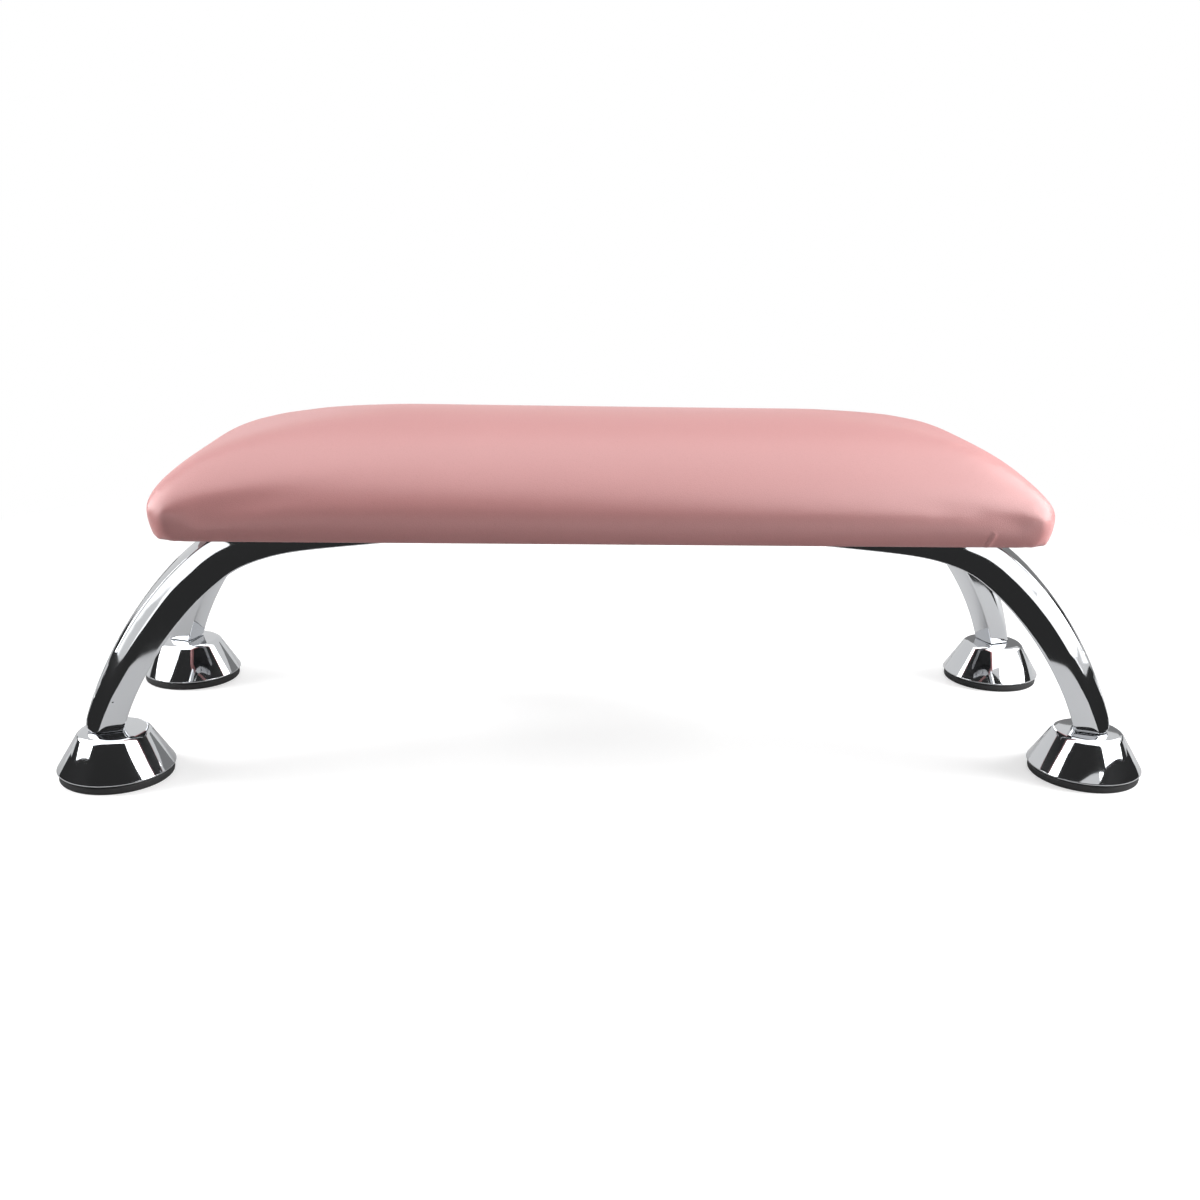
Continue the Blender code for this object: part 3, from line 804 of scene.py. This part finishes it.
def makePad():
    p = pad
    deselectAll()
    bpy.ops.mesh.primitive_cylinder_add(vertices=80, radius=p["radius"], depth=p["thickness"],
                                        location=(0, 0, p["thickness"] / 2))
    disc = newPiece("rubberPad")
    freezePlace(disc)
    startEdit(disc)
    pick(disc, lambda e: abs(e.verts[0].co.z - e.verts[1].co.z) < hair, "EDGE")
    bpy.ops.mesh.bevel(offset=p["edge"], segments=3, affect="EDGES")
    pick(disc, lambda f: f.normal.z > 0.9 and len(f.verts) > 8, "FACE")
    bpy.ops.mesh.inset(thickness=p["radius"] - p["edge"] - p["plugRadius"])
    bpy.ops.mesh.extrude_region_move(TRANSFORM_OT_translate={"value": (0, 0, p["plugHeight"])})
    pick(disc, lambda f: f.normal.z < -0.9 and len(f.verts) > 8, "FACE")
    for step in 2 * (p["treadStep"], p["treadWidth"]):
        bpy.ops.mesh.inset(thickness=step)
    sole = p["radius"] - p["edge"]
    for number in (1, 2):  # two shallow grip grooves in the sole
        outer = sole - number * p["treadStep"] - (number - 1) * p["treadWidth"]
        pick(disc, lambda f: f.normal.z < -0.9 and f.calc_center_median().z < touch
             and outer - p["treadWidth"] < f.calc_center_median().length < outer, "FACE")
        bpy.ops.mesh.extrude_region_move(TRANSFORM_OT_translate={"value": (0, 0, p["tread"])})
    endEdit()
    return disc


atEachCorner(makePad(), "rubber_pad", rubber, 30)
print("pads made")


# Screws: pan heads with a cross recess

screw = {
    "headRadius": 3.4 * mm,
    "headHeight": 2.2 * mm,
    "headEdge": 1.1 * mm,
    "shank": 1.6 * mm,
    "point": 2 * mm,
    "pointShare": 0.15,  # how wide the tip is, as a share of the shank
    "recess": (3.6 * mm, 0.75 * mm, 1.3 * mm),  # long, wide and deep
    "clearance": 0.3 * mm,  # below its seat
    "armTip": 89.5 * mm,
    "footTip": 25.7 * mm,
    "turn": 37,  # degrees further for each next screw, as they stop where they are tight
}


def makeScrew(seat, tip):
    p = screw
    deselectAll()
    bpy.ops.mesh.primitive_cylinder_add(vertices=32, radius=p["headRadius"], depth=p["headHeight"],
                                        location=(0, 0, seat - p["headHeight"] / 2))
    body = newPiece("screw")
    freezePlace(body)
    startEdit(body)
    low = seat - p["headHeight"]
    pick(body, lambda e: all(v.co.z < low + touch for v in e.verts), "EDGE")
    bpy.ops.mesh.bevel(offset=p["headEdge"], segments=4, affect="EDGES")
    pick(body, lambda f: f.normal.z > 0.9 and len(f.verts) > 8, "FACE")
    bpy.ops.mesh.inset(thickness=p["headRadius"] - p["shank"])
    straight = tip - seat - p["point"]
    bpy.ops.mesh.extrude_region_move(TRANSFORM_OT_translate={"value": (0, 0, straight)})
    bpy.ops.mesh.extrude_region_move(TRANSFORM_OT_translate={"value": (0, 0, p["point"])})
    bpy.ops.transform.resize(value=(p["pointShare"], p["pointShare"], 1), center_override=(0, 0, tip))
    endEdit()
    long, wide, deep = p["recess"]
    for turn in (0, 90):
        deselectAll()
        bpy.ops.mesh.primitive_cube_add(size=1, location=(0, 0, low))
        blade = newPiece("blade")
        blade.scale = (long, wide, 2 * deep)
        blade.rotation_euler.z = math.radians(turn)
        freezePlace(blade)
        applyModifier(body, "BOOLEAN", operation="DIFFERENCE", solver="EXACT", object=blade)
        bpy.data.objects.remove(blade, do_unlink=True)
    return body


def makeScrews():
    armScrew = makeScrew(leg["screwSeat"] - screw["clearance"], screw["armTip"])
    for corner, (turn, side, row) in corners.items():
        for number, outward in enumerate(leg["screwsAt"], start=1):
            node = f"arm_screw_{corner}_{number}"
            piece = copyOf(armScrew, camel(node))
            angle = math.radians(turn)
            piece.location = (side * stance["x"] + outward * math.cos(angle) + legOffset[0],
                              row * stance["y"] + outward * math.sin(angle) + legOffset[1], 0)
            piece.rotation_euler.z = math.radians(screw["turn"] * number + turn)
            freezePlace(piece)
            smoothShade(piece, 35)
            stand(piece, node, steel)
    bpy.data.objects.remove(armScrew, do_unlink=True)
    footSeat = cone["bottom"] + cone["height"] - cone["roof"] - screw["clearance"]
    atEachCorner(makeScrew(footSeat, screw["footTip"]), "foot_screw", steel, 35)


makeScrews()
print("screws made")


# Base board: the one node that keeps its CAD shape

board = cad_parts["base_board"]
for place in board.material_slots:
    place.material = plywood
print("board painted")


# Studio: pale floor, white behind, soft light from above, and cards that only reflections show

def glowMaterial(name, level):
    material = bpy.data.materials.new(name)
    material.use_nodes = True
    tree = material.node_tree
    tree.nodes.clear()
    glow = addNode(tree, "ShaderNodeEmission", {"Color": (level, level, level, 1), "Strength": 1.0})
    addNode(tree, "ShaderNodeOutputMaterial", {}, {"Surface": glow.outputs[0]})
    return material


def onlyInReflections(item):
    item.visible_camera = False
    item.visible_diffuse = False
    item.visible_transmission = False
    item.visible_volume_scatter = False
    item.visible_shadow = False


def makeCard(name, level, *posts):
    # An upright card through a row of posts, each given as its foot and its head
    deselectAll()
    bpy.ops.mesh.primitive_grid_add(x_subdivisions=len(posts) - 1, y_subdivisions=1, size=1)
    card = newPiece(name)
    places = [foot for foot, head in posts] + [head for foot, head in posts]
    for vertex, place in zip(card.data.vertices, places):
        vertex.co = place
    card.data.materials.append(glowMaterial(name, level))
    onlyInReflections(card)


ring = {"halfX": 0.3, "halfY": 0.175}  # the low card stands on the front half of this oval


def ringPost(x, high):
    y = -ring["halfY"] * math.sqrt(1 - (x / ring["halfX"]) ** 2)
    return (x, y, 0), (x, y, high)


darkLevel = 0.03
lowCardTops = {  # how high it stands at each place along X
    -0.30: 0.020, -0.285: 0.034, -0.26: 0.050, -0.21: 0.060, -0.178: 0.063, -0.152: 0.076,
    -0.1: 0.076, -0.05: 0.071, 0: 0.066, 0.05: 0.061, 0.1: 0.056, 0.152: 0.051, 0.178: 0.044,
    0.21: 0.054, 0.26: 0.046, 0.285: 0.031, 0.30: 0.020,
}
frontCard = {
    "y": -0.22,
    "bottom": 0.113,
    "tops": {-0.43: 0.2, -0.31: 0.4, -0.13: 0.4, 0: 0.32, 0.073: 0.25, 0.265: 0.17},
}
# The cards were tuned until the chrome showed the photograph's reflections, from the front only:
# in another studio it shows others
cards = {  # the glow's level, then each post's foot and head
    "lowDarkCard": (darkLevel, *[ringPost(x, high) for x, high in lowCardTops.items()]),
    "leftDarkCard": (darkLevel,
                     ((-0.50, -0.14, 0.06), (-0.50, -0.14, 0.11)),
                     ((-0.54, 0.3, 0.06), (-0.54, 0.3, 0.11))),
    "rightDarkCard": (darkLevel,
                      ((0.50, -0.14, 0.06), (0.50, -0.14, 0.11)),
                      ((0.50, 0.30, 0.06), (0.50, 0.30, 0.11))),
    "rightGreyCard": (0.25,
                      ((0.50, 0.30, 0), (0.50, 0.30, 0.2)), ((0.20, 0.60, 0), (0.20, 0.60, 0.2))),
    "frontWhiteStrip": (1.6,
                        ((-0.8, -0.50, 0), (-0.8, -0.52, 0.15)),
                        ((0.8, -0.50, 0), (0.8, -0.52, 0.15))),
    "frontDarkCard": (darkLevel, *[((x, frontCard["y"], frontCard["bottom"]), (x, frontCard["y"], high))
                                   for x, high in frontCard["tops"].items()]),
    "leftSoftbox": (4.6,
                    ((-0.58, -0.40, 0.1), (-0.54, -0.36, 0.7)),
                    ((-0.66, 0.25, 0.1), (-0.60, 0.25, 0.7))),
    "rightSoftbox": (5.0,
                     ((0.26, -0.42, 0.1), (0.26, -0.34, 0.7)),
                     ((0.66, 0.06, 0.1), (0.60, 0.06, 0.7))),
    "topSoftbox": (2.3,
                   ((-0.7, -0.60, 0.6), (-0.7, 0.45, 0.85)),
                   ((0.7, -0.60, 0.6), (0.7, 0.45, 0.85))),
    "rightHighSoftbox": (4.5,
                         ((0.74, -0.45, 0.3), (0.52, -0.45, 0.8)),
                         ((0.74, 0.4, 0.3), (0.52, 0.4, 0.8))),
}
for name, (level, *posts) in cards.items():
    makeCard(name, level, *posts)
print("cards made")


floorLook = {
    "size": 8,
    "shadow": 0.55,  # half of the floor's white is lit, and takes the object's shadow
    "fade": (0.22, 0.5),  # further off it turns to plain white
    "mirrored": 0.43,
    "plain": 0.4,
}
air = {"diffuse": 0.14, "glossy": 0.78, "camera": 1.0}  # how bright the world is to each kind of ray


def makeFloor():
    f = floorLook
    deselectAll()
    bpy.ops.mesh.primitive_plane_add(size=f["size"])
    floor = newPiece("floor")
    material = bpy.data.materials.new("paleFloor")
    material.use_nodes = True
    tree = material.node_tree
    tree.nodes.clear()
    path = addNode(tree, "ShaderNodeLightPath")
    shaded = addNode(tree, "ShaderNodeBsdfDiffuse", {"Color": (*3 * [f["shadow"]], 1)})
    lift = addNode(tree, "ShaderNodeEmission", {"Color": (1, 1, 1, 1), "Strength": f["shadow"]})
    near = addNode(tree, "ShaderNodeAddShader", {}, {0: shaded.outputs[0], 1: lift.outputs[0]})
    far = addNode(tree, "ShaderNodeEmission", {"Color": (1, 1, 1, 1), "Strength": 1.0})
    place = addNode(tree, "ShaderNodeTexCoord").outputs["Object"]
    distance = addNode(tree, "ShaderNodeVectorMath", {"operation": "LENGTH"}, {0: place})
    fade = addNode(tree, "ShaderNodeMapRange", {"From Min": f["fade"][0], "From Max": f["fade"][1]},
                   {"Value": distance.outputs["Value"]})
    seen = addNode(tree, "ShaderNodeMixShader", {},
                   {0: fade.outputs["Result"], 1: near.outputs[0], 2: far.outputs[0]})
    mirrored = addNode(tree, "ShaderNodeBsdfDiffuse", {"Color": (*3 * [f["mirrored"]], 1)})
    plain = addNode(tree, "ShaderNodeBsdfDiffuse", {"Color": (*3 * [f["plain"]], 1)})
    bounced = addNode(tree, "ShaderNodeMixShader", {},
                      {0: path.outputs["Is Glossy Ray"], 1: plain.outputs[0], 2: mirrored.outputs[0]})
    mixed = addNode(tree, "ShaderNodeMixShader", {},
                    {0: path.outputs["Is Camera Ray"], 1: bounced.outputs[0], 2: seen.outputs[0]})
    addNode(tree, "ShaderNodeOutputMaterial", {}, {"Surface": mixed.outputs[0]})
    floor.data.materials.append(material)


def makeWorld():
    world = bpy.data.worlds.new("studio")
    bpy.context.scene.world = world
    world.use_nodes = True
    tree = world.node_tree
    tree.nodes.clear()
    path = addNode(tree, "ShaderNodeLightPath")
    gloss = addNode(tree, "ShaderNodeMix", {"data_type": "FLOAT", 2: air["diffuse"], 3: air["glossy"]},
                    {0: path.outputs["Is Glossy Ray"]})
    level = addNode(tree, "ShaderNodeMix", {"data_type": "FLOAT", 3: air["camera"]},
                    {0: path.outputs["Is Camera Ray"], 2: gloss.outputs[0]})
    white = addNode(tree, "ShaderNodeBackground", {"Color": (1, 1, 1, 1)},
                    {"Strength": level.outputs[0]})
    addNode(tree, "ShaderNodeOutputWorld", {}, {"Surface": white.outputs[0]})


lamps = {  # place, what it faces, width, depth and watts
    "overheadSoftbox": ((0.05, 0.4, 1.25), (0, 0, 0.08), 1.5, 1.2, 10.9),
    "rightSoftLight": ((1.0, -0.10, 0.42), (0.05, 0, 0.09), 0.6, 0.6, 22),
    "leftSoftLight": ((-1.0, 0.0, 0.45), (-0.05, 0, 0.09), 0.5, 0.5, 13),
}


def makeLamp(name, place, target, width, depth, power):
    light = bpy.data.lights.new(name, "AREA")
    light.shape = "RECTANGLE"
    light.size = width
    light.size_y = depth
    light.energy = power
    lamp = bpy.data.objects.new(name, light)
    bpy.context.scene.collection.objects.link(lamp)
    lamp.location = place
    lamp.rotation_euler = (Vector(target) - Vector(place)).to_track_quat("-Z", "Y").to_euler()
    lamp.visible_glossy = False


makeFloor()
makeWorld()
for name, values in lamps.items():
    makeLamp(name, *values)
print("studio made")


# Camera: where the photograph was taken from

viewpoint = {
    "place": (-24.667 * mm, -465.273 * mm, 185.181 * mm),
    "yaw": 0.0492,  # radians
    "pitch": 0.2855,
    "roll": 0.0194,
    "lens": 38.42,  # mm, over a frame 36 mm wide
    "sensor": 36,
    "nearest": 10 * mm,
}


def makeCamera():
    v = viewpoint
    lens = bpy.data.cameras.new("camera")
    lens.lens = v["lens"]
    lens.sensor_width = v["sensor"]
    lens.clip_start = v["nearest"]
    camera = bpy.data.objects.new("camera", lens)
    bpy.context.scene.collection.objects.link(camera)
    camera.matrix_world = (Matrix.Translation(v["place"]) @ Matrix.Rotation(-v["yaw"], 4, "Z")
                           @ Matrix.Rotation(math.pi / 2 - v["pitch"], 4, "X")
                           @ Matrix.Rotation(v["roll"], 4, "Z"))
    bpy.context.scene.camera = camera


makeCamera()
bpy.context.scene.view_settings.view_transform = "Standard"

print("scene done")
